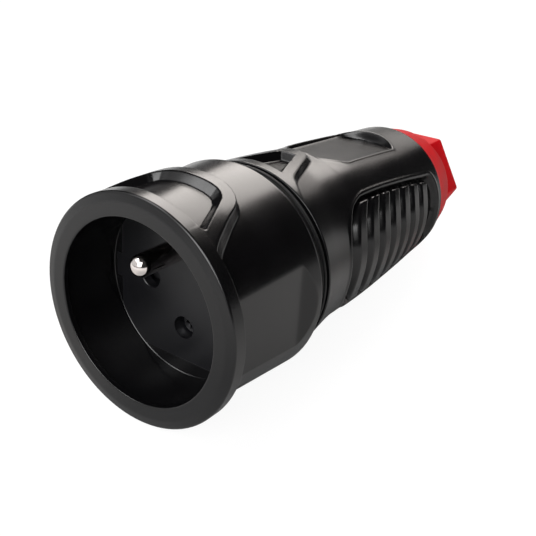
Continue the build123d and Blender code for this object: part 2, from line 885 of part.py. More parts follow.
with BuildPart() as cable_seal:
    with BuildSketch(across(gland_front_x)):
        Circle(gland_bore_radius - gland_gap)
        Circle(cable_seal_hole_radius, mode=Mode.SUBTRACT)
    extrude(amount=cable_seal_length)
save(cable_seal, "cable_seal")

with BuildPart() as clamp_collet:
    with BuildSketch(Plane.XY):
        with BuildLine():
            Polyline(
                (collet_front_x, collet_hole_radius),
                (collet_front_x, gland_bore_radius - gland_gap),
                (collet_front_x + collet_ring_length, gland_bore_radius - gland_gap),
                (collet_front_x + collet_ring_length, collet_radius),
                (collet_back_x - collet_taper, collet_radius),
                (collet_back_x, collet_nose_radius),
                (collet_back_x, collet_hole_radius),
                close=True,
            )
        make_face()
    revolve(axis=Axis.X)
    with BuildSketch(across(collet_front_x + collet_ring_length)):
        with PolarLocations(gland_bore_radius / 2, collet_fingers):
            Rectangle(gland_bore_radius, collet_slot)
    extrude(amount=collet_length, mode=Mode.SUBTRACT)
save(clamp_collet, "clamp_collet")

with BuildPart() as slip_washer:
    with BuildSketch(across(washer_front_x)):
        Circle(collet_radius)
        Circle(washer_hole_radius, mode=Mode.SUBTRACT)
    extrude(amount=washer_thickness)
save(slip_washer, "slip_washer")

with BuildPart() as gland_nut:
    shoulder_x = nut_front_x + nut_cone_length
    hexagon_x = shoulder_x + nut_shoulder_length
    with BuildSketch(Plane.XY):
        with BuildLine():
            Polyline(
                (nut_front_x, 0),
                (nut_front_x, nut_collar_radius),
                (shoulder_x, nut_cone_radius),
                (hexagon_x, nut_hex_flats / 2),
                (hexagon_x, 0),
                close=True,
            )
        make_face()
    revolve(axis=Axis.X)
    with BuildSketch(across(shoulder_x)):
        RegularPolygon(nut_hex_flats / 2, 6, major_radius=False)
    extrude(amount=nut_back_x - shoulder_x)
    chamfer(gland_nut.edges().group_by(Axis.X)[-1], nut_hex_edge)
    with BuildSketch(Plane.XY):
        with BuildLine():
            Polyline(
                (nut_front_x, 0),
                (nut_front_x, neck_radius + nut_thread_gap),
                (nut_front_x + nut_thread_length, neck_radius + nut_thread_gap),
                (nut_front_x + nut_thread_length, nut_pocket_radius),
                (nut_pocket_x, nut_pocket_radius),
                (nut_pocket_x, nut_hole_radius),
                (nut_back_x - nut_hole_flare, nut_hole_radius),
                (nut_back_x, nut_hole_radius + nut_hole_flare),
                (nut_back_x, 0),
                close=True,
            )
        make_face()
    revolve(axis=Axis.X, mode=Mode.SUBTRACT)
save(gland_nut, "gland_nut")
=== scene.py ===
"""Looks of the in-line power socket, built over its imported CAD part.

Lengths inside the classes are millimetres in the row's frame: X runs from the
mouth of the plug well to the cable nut, Z is up on the side of the earth pin.
An angle round the axis starts at +Z and grows towards -Y, the camera's side.
"""

import json
import logging
import math
from dataclasses import dataclass
from enum import Enum
from typing import Callable, Sequence

import bpy
import numpy as np
from mathutils import Matrix, Vector

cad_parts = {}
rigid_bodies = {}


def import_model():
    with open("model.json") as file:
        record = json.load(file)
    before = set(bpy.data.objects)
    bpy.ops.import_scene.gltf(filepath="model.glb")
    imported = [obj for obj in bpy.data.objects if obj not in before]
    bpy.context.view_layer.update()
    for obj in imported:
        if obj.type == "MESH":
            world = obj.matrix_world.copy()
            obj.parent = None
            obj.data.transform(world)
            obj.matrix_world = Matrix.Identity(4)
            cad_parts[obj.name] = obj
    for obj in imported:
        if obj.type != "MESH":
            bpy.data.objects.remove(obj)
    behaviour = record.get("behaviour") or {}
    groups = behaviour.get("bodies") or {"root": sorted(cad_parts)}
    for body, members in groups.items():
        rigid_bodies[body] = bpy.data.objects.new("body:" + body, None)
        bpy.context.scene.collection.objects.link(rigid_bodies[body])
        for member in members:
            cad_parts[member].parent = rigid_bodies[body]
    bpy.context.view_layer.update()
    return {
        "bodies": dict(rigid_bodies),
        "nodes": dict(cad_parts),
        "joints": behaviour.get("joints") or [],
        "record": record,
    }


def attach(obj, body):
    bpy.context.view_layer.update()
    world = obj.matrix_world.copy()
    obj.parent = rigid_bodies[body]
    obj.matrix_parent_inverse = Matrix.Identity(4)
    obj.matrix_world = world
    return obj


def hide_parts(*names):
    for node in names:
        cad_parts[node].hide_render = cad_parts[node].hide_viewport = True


logging.basicConfig(level=logging.INFO, format="%(message)s")
LOG = logging.getLogger("socket")

MM = 0.001
GUARD = 1.15  # how far from a rounded corner a line gets one more point, in cuts of that corner
TINY = 1e-4  # the least that counts as more than zero
BODY = "socket_body"
MIX_DARK, MIX_LIGHT, MIX_COLOUR = 6, 7, 2  # numbers of the Mix node's colour sockets
Array = np.ndarray
Colour = tuple[float, float, float]
Place = tuple[float, float, float]
Outline = tuple[tuple[float, float], ...]
Relief = Callable[[Array, Array, Array], Array]


class Ray(Enum):
    """Kinds of light path that a finish may ask about."""

    CAMERA = "Is Camera Ray"
    GLOSSY = "Is Glossy Ray"


# Shader maths


class Tree:
    """A node tree that is written as Python expressions."""

    def __init__(self, owner: bpy.types.ID) -> None:
        """Empties the tree of a material or world and keeps it."""
        owner.use_nodes = True
        self.tree = owner.node_tree
        self.tree.nodes.clear()

    def node(self, kind: str, settings: dict | None = None, **inputs: object) -> "Out":
        """Adds any node.

        Args:
            kind: Blender's type name of the node.
            settings: attributes to set on the node.
            inputs: values or other outputs, by socket name with _ for a space,
                or by i0, i1 and so on for a socket's number.

        Returns:
            The node's first output that is enabled.
        """
        made = self.tree.nodes.new(kind)
        for key, value in (settings or {}).items():
            setattr(made, key, value)
        for key, value in inputs.items():
            numbered = key[0] == "i" and key[1:].isdigit()
            socket = made.inputs[int(key[1:]) if numbered else key.replace("_", " ")]
            if isinstance(value, Out):
                self.tree.links.new(value.socket, socket)
            else:
                socket.default_value = value
        outputs = [o for o in made.outputs if o.enabled]
        return Out(self, outputs[0] if outputs else None, made)


class Out:
    """One output socket, with arithmetic."""

    def __init__(self, tree: Tree, socket: "bpy.types.NodeSocket | None", made: bpy.types.Node) -> None:
        """Keeps the socket with its tree and node."""
        self.tree, self.socket, self.made = tree, socket, made

    def pick(self, name: str) -> "Out":
        """Another output of the same node, by name."""
        return Out(self.tree, self.made.outputs[name], self.made)

    def _math(self, operation: str, *terms: "Out | float") -> "Out":
        """A Math node over the given terms."""
        inputs = {f"i{n}": term for n, term in enumerate(terms)}
        return self.tree.node("ShaderNodeMath", {"operation": operation}, **inputs)

    def __add__(self, other: "Out | float") -> "Out":
        """Sum."""
        return self._math("ADD", self, other)

    def __sub__(self, other: "Out | float") -> "Out":
        """Difference."""
        return self._math("SUBTRACT", self, other)

    def __mul__(self, other: "Out | float") -> "Out":
        """Product."""
        return self._math("MULTIPLY", self, other)

    def __rsub__(self, other: "Out | float") -> "Out":
        """Reflected difference."""
        return self._math("SUBTRACT", other, self)

    def ramp(self, low: float, high: float, at_low: float = 0.0, at_high: float = 1.0) -> "Out":
        """Smooth step between two thresholds.

        Args:
            low: value of this output at which the step starts.
            high: value at which it ends.
            at_low: result up to low.
            at_high: result from high on.

        Returns:
            The step's output.
        """
        settings = {"interpolation_type": "SMOOTHSTEP"}
        return self.tree.node(
            "ShaderNodeMapRange", settings, i0=self, i1=low, i2=high, i3=at_low, i4=at_high
        )

    def tint(self, dark: Sequence[float], light: Sequence[float]) -> "Out":
        """Colour mixed by this value.

        Args:
            dark: linear colour at 0.
            light: linear colour at 1.

        Returns:
            The colour's output.
        """
        made = self.tree.node("ShaderNodeMix", {"data_type": "RGBA"}, i0=self)
        made.made.inputs[MIX_DARK].default_value = (*dark, 1.0)
        made.made.inputs[MIX_LIGHT].default_value = (*light, 1.0)
        return Out(self.tree, made.made.outputs[MIX_COLOUR], made.made)


@dataclass(frozen=True)
class Moulded:
    """Moulded plastic or rubber with a fine grain and slightly uneven gloss.

    Attributes:
        name: the material's name.
        base: linear colour.
        rough: mean roughness.
        grain: height of the grain in millimetres.
        grain_size: grains per millimetre.
        specular: strength of the plain reflection, 0.5 as a plastic's.
    """

    name: str
    base: Colour
    rough: float
    grain: float = 0.012
    grain_size: float = 6.0
    specular: float = 0.5

    def build(self) -> bpy.types.Material:
        """Makes the material.

        Returns:
            The new material.
        """
        made = bpy.data.materials.new(self.name)
        tree = Tree(made)
        where = tree.node("ShaderNodeTexCoord").pick("Object")
        cloud = tree.node("ShaderNodeTexNoise", Vector=where, Scale=90.0, Detail=4.0)
        fine = tree.node("ShaderNodeTexNoise", Vector=where, Scale=1000.0 * self.grain_size, Detail=3.0)
        speck = tree.node("ShaderNodeTexVoronoi", Vector=where, Scale=700.0 * self.grain_size)
        height = fine * 0.7 + speck * 0.3
        bump = tree.node("ShaderNodeBump", Strength=0.35, Distance=self.grain * MM, Height=height)
        shade = cloud.ramp(0.3, 0.7)
        darker = tuple(0.88 * c for c in self.base)
        lighter = tuple(1.12 * c for c in self.base)
        rough = cloud.ramp(0.3, 0.7, self.rough - 0.02, self.rough + 0.02) + (fine - 0.5) * 0.06
        shader = tree.node(
            "ShaderNodeBsdfPrincipled",
            Base_Color=shade.tint(darker, lighter),
            Roughness=rough,
            Normal=bump,
            Specular_IOR_Level=self.specular,
        )
        tree.node("ShaderNodeOutputMaterial", Surface=shader)
        return made


@dataclass(frozen=True)
class Metal:
    """Plated, drawn or turned metal with fine scratches.

    Attributes:
        name: the material's name.
        base: linear colour.
        rough: mean roughness.
        stretch: how many times longer the scratches are along X than across.
    """

    name: str
    base: Colour
    rough: float
    stretch: float = 12.0

    def build(self) -> bpy.types.Material:
        """Makes the material.

        Returns:
            The new material.
        """
        made = bpy.data.materials.new(self.name)
        tree = Tree(made)
        where = tree.node("ShaderNodeTexCoord").pick("Object")
        scale = (1.0 / self.stretch, 1.0, 1.0)
        drawn = tree.node("ShaderNodeMapping", Vector=where, Scale=scale)
        lines = tree.node("ShaderNodeTexNoise", Vector=drawn, Scale=6000.0, Detail=2.0)
        cloud = tree.node("ShaderNodeTexNoise", Vector=where, Scale=250.0, Detail=3.0)
        bump = tree.node("ShaderNodeBump", Strength=0.15, Distance=0.003 * MM, Height=lines)
        darker = tuple(0.85 * c for c in self.base)
        shader = tree.node(
            "ShaderNodeBsdfPrincipled",
            Base_Color=cloud.ramp(0.3, 0.7).tint(darker, self.base),
            Roughness=cloud.ramp(0.3, 0.7, self.rough * 0.8, self.rough * 1.3),
            Metallic=1.0,
            Normal=bump,
        )
        tree.node("ShaderNodeOutputMaterial", Surface=shader)
        return made


@dataclass(frozen=True)
class Finishes:
    """Every finish of the socket."""

    shell: Moulded = Moulded("shell_plastic", (0.0018, 0.0017, 0.0021), 0.24, specular=0.42)
    insert: Moulded = Moulded("insert_plastic", (0.005, 0.005, 0.0062), 0.36, specular=0.42)
    shutter: Moulded = Moulded("shutter_plastic", (0.02, 0.02, 0.021), 0.4)
    nylon: Moulded = Moulded("collet_plastic", (0.55, 0.55, 0.52), 0.4)
    nut: Moulded = Moulded("nut_plastic", (0.56, 0.0008, 0.005), 0.45, 0.006, specular=0.06)
    rubber: Moulded = Moulded("seal_rubber", (0.002, 0.002, 0.0023), 0.42, specular=0.42)
    brass: Metal = Metal("contact_brass", (0.78, 0.58, 0.28), 0.22)
    plated: Metal = Metal("plated_pin", (0.80, 0.74, 0.71), 0.11)
    # painted shade: the screw's zinc is made dark to stand in for the shade of the hole that it sits in
    zinc: Metal = Metal("screw_steel", (0.22, 0.22, 0.23), 0.35)
    spring: Metal = Metal("spring_steel", (0.5, 0.5, 0.5), 0.25)


# Surfaces


def soft_min(a: Array, b: Array, width: float) -> Array:
    """Smaller of a and b, rounded over where they differ by less than width."""
    blend = np.clip(0.5 + 0.5 * (b - a) / width, 0.0, 1.0)
    return b + (a - b) * blend - width * blend * (1.0 - blend)


def soft_max(a: Array, b: Array, width: float) -> Array:
    """Larger of a and b, rounded over where they differ by less than width."""
    return -soft_min(-a, -b, width)


def step(value: Array, low: float, high: float) -> Array:
    """Smooth step: 0 below low, 1 above high, and 3t^2 - 2t^3 between."""
    t = np.clip((value - low) / (high - low), 0.0, 1.0)
    return t * t * (3.0 - 2.0 * t)


def curve_through(points: Sequence[tuple[float, float]], x: Array) -> Array:
    """Smooth curve y(x) through points: a cubic Hermite with mean slopes at each.

    Args:
        points: (x, y) pairs, with x growing.
        x: where y is wanted; past an end of the points it is the y of that end.

    Returns:
        The y at each x.
    """
    px, py = np.array(points, float).T
    slope = np.gradient(py, px)
    x = np.clip(x, px[0], px[-1])
    n = np.clip(np.searchsorted(px, x) - 1, 0, len(px) - 2)
    h = px[n + 1] - px[n]
    t = (x - px[n]) / h
    a = (1 + 2 * t) * (1 - t) ** 2 * py[n] + t * t * (3 - 2 * t) * py[n + 1]
    return a + h * (t * (1 - t) ** 2 * slope[n] - t * t * (1 - t) * slope[n + 1])


def stations(*spans: tuple[float, float, float]) -> Array:
    """Places along a line, even within each span.

    Args:
        spans: (from, to, spacing) of each; a span starts where the one before ends.

    Returns:
        All the places, in order.
    """
    places = [np.array([spans[0][0]])]
    for low, high, size in spans:
        count = max(1, round(abs(high - low) / size))
        places.append(np.linspace(low, high, count + 1)[1:])
    return np.concatenate(places)


def rounded(points: Sequence[tuple[float, float]], radii: Sequence[float], steps: int = 4) -> Array:
    """Line with its inner corners rounded by quadratic arcs, and a point just off each arc's ends.

    Args:
        points: corners as (x, r).
        radii: distance that each inner corner is cut back by.
        steps: segments in each rounded corner.

    Returns:
        The points of the rounded line, one row each.
    """
    corners = np.array(points, float)
    line = [corners[0]]
    for before, corner, after, cut in zip(corners, corners[1:], corners[2:], radii):
        if cut <= 0:
            line.append(corner)
            continue
        to_before = (before - corner) / np.linalg.norm(before - corner)
        to_after = (after - corner) / np.linalg.norm(after - corner)
        a, b = corner + to_before * cut, corner + to_after * cut
        line.append(corner + to_before * cut * GUARD)
        for t in np.linspace(0.0, 1.0, steps + 1):
            line.append((1 - t) ** 2 * a + 2 * t * (1 - t) * corner + t * t * b)
        line.append(corner + to_after * cut * GUARD)
    line.append(corners[-1])
    return np.array(line)


class Skin:
    """A mesh made of one grid of points whose last column joins its first."""

    def __init__(self, name: str, points: Array) -> None:
        """Works out the quads between neighbouring rows and columns.

        Args:
            name: the object's name.
            points: rows by columns by 3, in millimetres.
        """
        rows, columns = points.shape[:2]
        row = np.arange(rows - 1)[:, None] * columns
        column = np.arange(columns)[None, :]
        below, beside = row + columns, (column + 1) % columns
        quads = np.stack([row + column, row + beside, below + beside, below + column], axis=-1)
        self.name = name
        self.points = points.reshape(-1, 3)
        self.faces = quads.reshape(-1, 4)

    def build(
        self, finish: bpy.types.Material, slot: str, body: str, smooth_angle: float = 40.0
    ) -> bpy.types.Object:
        """Makes the object, gives it its finish and lets it ride on a CAD body.

        Args:
            finish: the material.
            slot: the record's material slot; not used.
            body: the CAD body that it moves with.
            smooth_angle: edges sharper than this many degrees stay sharp.

        Returns:
            The object.
        """
        mesh = bpy.data.meshes.new(self.name)
        mesh.from_pydata((self.points * MM).tolist(), [], self.faces.tolist())
        mesh.update()
        mesh.shade_smooth()
        mesh.set_sharp_from_angle(angle=math.radians(smooth_angle))
        mesh.materials.append(finish)
        made = bpy.data.objects.new(self.name, mesh)
        bpy.context.scene.collection.objects.link(made)
        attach(made, body)
        LOG.info("%s: %d quads", self.name, len(self.faces))
        return made


def turn(
    path: Array, angles: Array, relief: Relief | None = None, centre: tuple[float, float] = (0.0, 0.0)
) -> Array:
    """Surface of revolution about an axis along X, with an optional relief.

    The point at row i and column j is (x_i, -r sin a_j, r cos a_j), where r is
    the path's radius, or what relief returns for it.

    Args:
        path: (x, r) of each row, walked with the outer side on the left.
        angles: angle of each column, in radians, the same for all rows or a row each.
        relief: takes x, r and angle arrays and returns the new r.
        centre: (y, z) of the axis.

    Returns:
        Rows by columns by 3.
    """
    a = np.broadcast_to(angles, (len(path), angles.shape[-1]))
    x = np.broadcast_to(path[:, :1], a.shape)
    r = np.broadcast_to(path[:, 1:2], a.shape)
    if relief is not None:
        r = relief(x, r, a)
    return np.stack([x, centre[0] - r * np.sin(a), centre[1] + r * np.cos(a)], axis=-1)


def fan(knots: Sequence[Array], counts: Sequence[int]) -> Array:
    """Angles of columns for each row, even between knot lines and mirrored in Z.

    Args:
        knots: lines of angle, one value a row in radians, from 0 to pi.
        counts: columns between each knot line and the next.

    Returns:
        Rows by columns, round the whole axis.
    """
    parts = [knots[0][:, None]]
    for low, high, count in zip(knots, knots[1:], counts):
        share = np.arange(1, count + 1) / count
        parts.append(low[:, None] + (high - low)[:, None] * share)
    half = np.concatenate(parts, axis=1)
    return np.concatenate([half, 2 * math.pi - half[:, -2:0:-1]], axis=1)


def angle_at(half_width: Array, radius: Array) -> Array:
    """Angle from the top at which a point of that radius lies half_width from the middle."""
    return np.arcsin(np.clip(half_width / radius, -1.0, 1.0))


def edge_distance(outline: Sequence[tuple[float, float]], x: Array, y: Array) -> Array:
    """Distance of points from an outline, positive on its outer side.

    Args:
        outline: (x, half width) points, walked with the outside on the left.
        x: places along the axis.
        y: half widths of the points.

    Returns:
        The distance to the nearest piece of the outline, with its sign.
    """
    nearest = np.full(x.shape, np.inf)
    signed = np.zeros(x.shape)
    for (x0, y0), (x1, y1) in zip(outline, outline[1:]):
        run, rise = x1 - x0, y1 - y0
        share = np.clip(((x - x0) * run + (y - y0) * rise) / (run**2 + rise**2), 0.0, 1.0)
        off_x, off_y = x - x0 - share * run, y - y0 - share * rise
        distance = np.hypot(off_x, off_y)
        closer = distance < nearest
        signed = np.where(closer, np.copysign(distance, run * off_y - rise * off_x), signed)
        nearest = np.minimum(nearest, distance)
    return signed


def wall_share(from_top: Array, from_foot: Array, edge: float = 0.14) -> Array:
    """Share of a sloping wall's fall: 0 up to its top edge, 1 past its foot.

    Args:
        from_top: signed distance past the top edge.
        from_foot: signed distance past the foot.
        edge: how soft both edges are, as a share of the wall.

    Returns:
        The share at each point.
    """
    share = from_top / np.maximum(from_top - from_foot, 0.05)
    return soft_min(soft_max(share, np.zeros_like(share), edge), np.ones_like(share), edge)


# Front shell


@dataclass
class FrontShell:
    """Outer front moulding: rim, plug well, raised frame on top, side flats.

    Attributes are radii and places along the axis, in millimetres. Outlines are
    (x, half width in Y) points.
    """

    well_radius: float = 20.0
    well_bore: float = 20.6
    rim_radius: float = 25.05
    rim_flat: float = 23.0
    rim_fall: float = 0.3
    rim_width: float = 3.6
    front_radius: float = 22.9
    rear_radius: float = 24.6
    length: float = 31.1
    rear_round: float = 0.8
    ring_front: float = 16.8
    ring_back: float = 18.8
    ring_opening: float = 16.2
    frame_radius: float = 25.45
    ledge_front: float = 15.38
    ledge_gap: float = 0.12
    ledge_chamfer: float = 0.13
    ledge_rim: float = 20.46
    insert_radius: float = 20.3
    insert_half_width: float = 18.0
    insert_half_height: float = 17.0
    tongue_reach: float = 19.6
    tongue_half: float = 2.75
    flat_front: float = 21.35
    flat_rear: float = 22.45
    flat_end: float = 25.5
    flat_ramp: float = 3.7
    flat_blend: float = 0.3
    frame_reach: float = 53.0
    frame_end: float = 21.0
    crown_start: float = 2.0
    crown_end: float = 12.0
    mouth_edge: float = 1.8
    frame_top: Outline = (
        (0.0, 17.9), (3.6, 17.35), (4.6, 16.72), (6.1, 15.95), (8.9, 14.85),
        (11.9, 13.65), (14.0, 12.9), (15.4, 12.3), (16.5, 11.6), (17.6, 10.4),
        (18.5, 8.8), (19.0, 7.2), (19.2, 5.0), (19.3, 0.0),
    )
    frame_foot: Outline = (
        (0.0, 20.5), (3.6, 19.3), (4.1, 18.2), (4.9, 17.35), (6.2, 16.6),
        (8.9, 15.5), (11.9, 14.25), (14.0, 13.5), (15.6, 12.9), (16.9, 12.0),
        (18.1, 10.7), (19.1, 8.95), (19.6, 7.3), (19.8, 5.0), (19.9, 0.0),
    )
    window_top: Outline = (
        (3.6, 0.0), (3.6, 12.4), (3.72, 13.2), (4.1, 13.8), (4.6, 13.95),
        (5.2, 13.65), (11.1, 11.3), (13.9, 10.0), (14.7, 9.3), (15.4, 8.4),
        (15.9, 7.2), (16.15, 5.4), (16.2, 0.0),
    )
    window_foot: Outline = (
        (4.15, 0.0), (4.15, 10.9), (4.3, 11.5), (4.7, 11.75), (5.3, 11.55),
        (6.06, 11.2), (8.54, 10.3), (11.76, 9.1), (13.1, 8.4), (13.9, 7.6),
        (14.3, 6.6), (14.45, 5.0), (14.5, 0.0),
    )

    def body_radius(self, x: Array) -> Array:
        """Plain cone of the shell at x."""
        share = (x - self.rim_width) / (self.length - self.rear_round - self.rim_width)
        return self.front_radius + (self.rear_radius - self.front_radius) * np.clip(share, 0.0, 1.0)

    def flat_limit(self, x: Array) -> Array:
        """Distance of the side flats from the axis: a gentle slope, then a ramp at the rear.

        Args:
            x: places along the axis.

        Returns:
            The distance at each place.
        """
        slope = (self.flat_rear - self.flat_front) / (self.flat_end - self.rim_width)
        flat = self.flat_front + slope * (x - self.rim_width)
        rise = (self.rear_radius - self.flat_rear) / self.flat_ramp
        return soft_max(flat, self.flat_rear + rise * (x - self.flat_end), self.flat_blend)

    def raised(self, x: Array, a: Array, base: Array) -> Array:
        """Radius with the frame: its top, the wall round it and the window sunk in it.

        Both walls fall from the crown to base between their two outlines, and
        the lower one counts.

        Args:
            x: places along the axis.
            a: angles round it.
            base: radii of the plain cone.

        Returns:
            The new radii.
        """
        rise = self.frame_radius - self.rim_radius
        crown = self.rim_radius + rise * step(x, self.crown_start, self.crown_end)
        across = np.abs(np.sin(a))
        at_top, at_foot = crown * across, base * across
        outer = wall_share(
            edge_distance(self.frame_top, x, at_top), edge_distance(self.frame_foot, x, at_foot)
        )
        inner = wall_share(
            -edge_distance(self.window_top, x, at_top), -edge_distance(self.window_foot, x, at_foot)
        )
        return crown + (base - crown) * np.maximum(outer, inner)

    def ledge_radius(self, a: Array) -> Array:
        """Radius of the insert's outline: a disc with four flats and two tongues.

        Args:
            a: angles round the axis.

        Returns:
            The radius at each angle.
        """
        across = np.maximum(np.abs(np.sin(a)), TINY)
        along = np.maximum(np.abs(np.cos(a)), TINY)
        disc = np.minimum(self.insert_radius, self.insert_half_height / along)
        plain = np.minimum(disc, self.insert_half_width / across)
        tongue = self.tongue_reach / across
        return np.where((tongue * along < self.tongue_half) & (across > along), tongue, plain)

    def relief(self, x: Array, r: Array, a: Array) -> Array:
        """Frame, window and side flats over the plain cone; inner rows stay.

        Rows of the ledge follow the insert's outline instead, at the distance by
        which their radius is past insert_half_height, up to the ledge's rim.

        Args:
            x: places along the axis.
            r: the path's radii.
            a: angles round the axis.

        Returns:
            The new radii.
        """
        outer = (x > self.rim_width + TINY) & (r > self.front_radius - 0.4)
        base = self.body_radius(x)
        near_frame = (np.cos(a) > 0.5) & (x < self.frame_end)
        raised = np.where(near_frame, self.raised(x, a, base), base)
        side = np.maximum(np.abs(np.sin(a)), TINY)
        shape = soft_min(raised, self.flat_limit(x) / side, 0.1)
        last = np.clip((x - (self.length - self.rear_round)) / self.rear_round, 0.0, 1.0)
        drop = self.rear_round * (1.0 - np.sqrt(np.maximum(1.0 - last**2, 0.0)))
        at_ledge = (x < self.ring_front + 0.1) & (x > self.ledge_front - 0.38)
        ledge = at_ledge & (r > self.ring_opening + 0.5) & (r < self.well_radius)
        follow = np.minimum(self.ledge_radius(a) + r - self.insert_half_height, self.ledge_rim - 0.01)
        return np.where(outer, shape - drop, np.where(ledge, follow, r))

    def _rim_relief(self, x: Array, r: Array, a: Array) -> Array:
        """Relief of the body, with the rim's back edge filled where the frame runs in.

        Args:
            x: places along the axis.
            r: the path's radii.
            a: angles round the axis.

        Returns:
            The new radii.
        """
        at_edge = (np.abs(x - self.rim_width) < 0.4) & (x < self.rim_width + TINY)
        near = at_edge & (r > self.front_radius)
        just_behind = np.full_like(x, self.rim_width + 0.002)
        behind = self.relief(just_behind, np.full_like(r, self.front_radius), a)
        return np.where(near, np.maximum(r, behind), self.relief(x, r, a))

    def columns(self, x: Array) -> Array:
        """Fine columns over the frame, then columns that follow the flats at each row.

        Args:
            x: place of each row along the axis.

        Returns:
            Angles, rows by columns.
        """
        x = np.clip(x, self.rim_width, self.length)
        body = self.body_radius(x)
        flat = angle_at(np.minimum(self.flat_limit(x), 0.985 * body), body)
        knots = [
            np.zeros_like(x),
            np.full_like(x, math.radians(self.frame_reach)),
            flat - 0.01,
            flat + 0.01,
            math.pi - flat - 0.01,
            math.pi - flat + 0.01,
            np.full_like(x, math.pi),
        ]
        return fan(knots, [160, 10, 2, 26, 2, 20])

    def build(self, looks: "Palette") -> None:
        """Makes the shell's skin, which stands for its CAD node.

        Args:
            looks: the materials.
        """
        xs = stations(
            (self.rim_width + 0.002, 4.3, 0.05),
            (4.3, 13.7, 0.18),
            (13.7, 20.1, 0.13),
            (20.1, 25.0, 0.8),
            (25.0, 29.6, 0.3),
            (29.6, 30.3, 0.2),
        )
        outside = np.stack([xs, self.body_radius(xs)], axis=1)
        edge_x = self.length - self.rear_round * (1.0 - np.sin(np.linspace(0.15, math.pi / 2, 9)))
        edge = np.stack([edge_x, np.full(9, self.rear_radius)], axis=1)
        front = rounded(
            [
                (self.mouth_edge, self.well_bore),
                (1.2, self.well_radius),
                (0.0, self.well_radius),
                (0.0, self.rim_flat),
                (self.rim_fall, self.rim_radius - self.rim_fall),
                (2 * self.rim_fall, self.rim_radius),
                (self.rim_width, self.rim_radius),
                (self.rim_width, self.front_radius + 0.02),
            ],
            [0.15, 0.35, 0.3, 0.18, 0.18, 0.22],
        )
        ledge, chamfer = self.ledge_front, self.ledge_front - self.ledge_chamfer
        gap = self.insert_half_height + self.ledge_gap
        top = self.insert_half_height + 2 * self.ledge_gap
        back = np.array(
            [
                (self.length, self.well_bore),
                (self.ring_back, self.well_bore),
                (self.ring_back, self.ring_opening),
                (self.ring_front + 0.05, self.ring_opening),
                (self.ring_front + 0.05, gap),
                (ledge + 0.1, gap),
                (ledge + 0.09, gap),
                (ledge, top),
                (ledge, top + 0.01),
                (ledge, self.ledge_rim),
                (ledge, self.ledge_rim + 0.01),
                (chamfer, self.well_bore),
                (chamfer - 0.01, self.well_bore),
                (9.0, self.well_bore),
                (self.mouth_edge, self.well_bore),
            ]
        )
        path = np.concatenate([front, outside, edge, back])
        skin = Skin("shell_skin", turn(path, self.columns(path[:, 0]), self._rim_relief))
        made = skin.build(looks.shell, "shell_plastic", BODY, 42.0)
        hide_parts("front_shell")


# Handle


